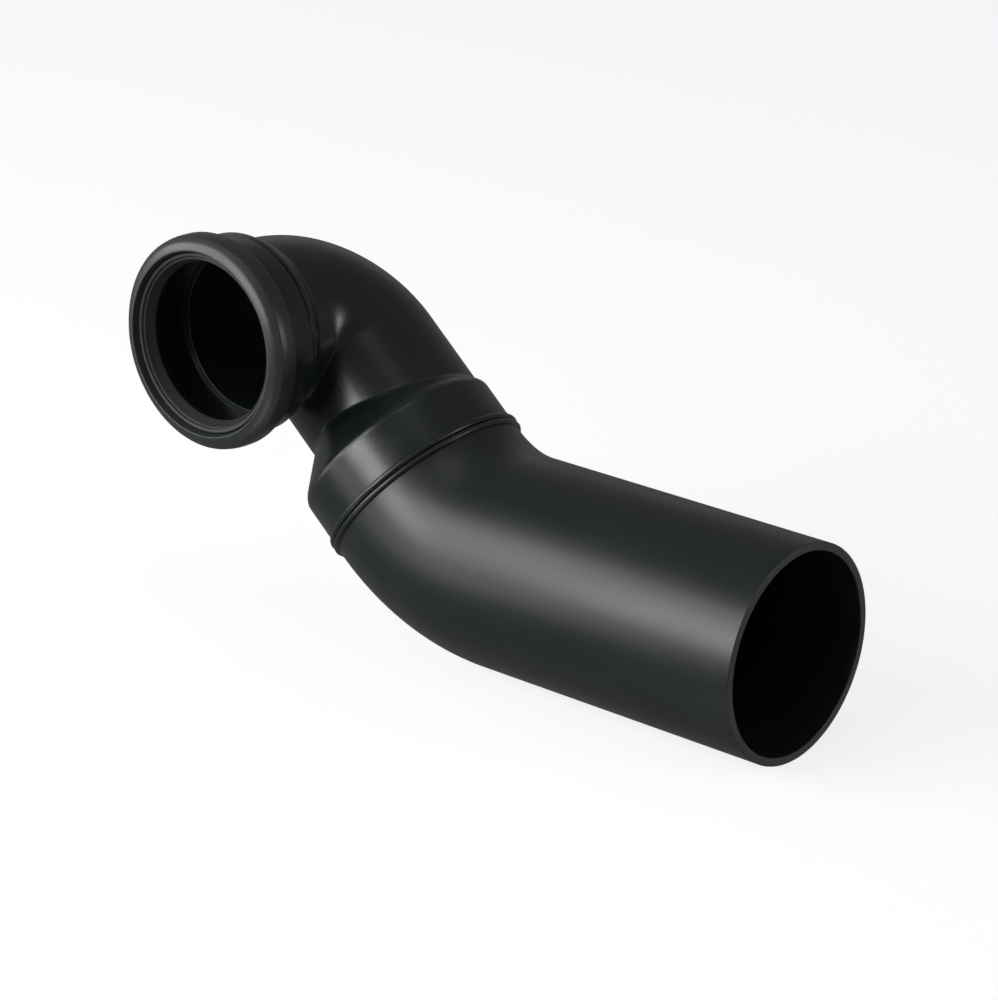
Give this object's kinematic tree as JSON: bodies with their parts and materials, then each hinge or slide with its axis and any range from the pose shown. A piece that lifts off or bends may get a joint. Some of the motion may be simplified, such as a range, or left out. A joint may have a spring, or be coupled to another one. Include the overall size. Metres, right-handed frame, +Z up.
{
  "type": "pan connector",
  "caption": "Black polyethylene pan connector: d90 push-fit socket with lip seal, tight elbow, eccentric reducer, butt weld and a d110 bend with a long plain spigot.",
  "frame": {"origin": "middle of the socket's mouth, on the socket's axis", "axes": "-Y out of the socket's mouth, +X out of the outlet spigot, +Z up with the spigot level"},
  "size_m": [0.3742, 0.1366, 0.2079],
  "materials": {
    "polyethylene": "satin black",
    "ring_polyethylene": "satin black",
    "weld_polyethylene": "satin black, melted and rolled",
    "seal_rubber": "matt dark grey"
  },
  "bodies": {
    "root": {"seal_retaining_ring": "ring_polyethylene", "lip_seal": "seal_rubber", "socket_body": "polyethylene", "elbow_90": "polyethylene", "eccentric_reducer": "polyethylene", "weld_bead": "weld_polyethylene", "outlet_bend": "polyethylene"}
  },
  "joints": []
}
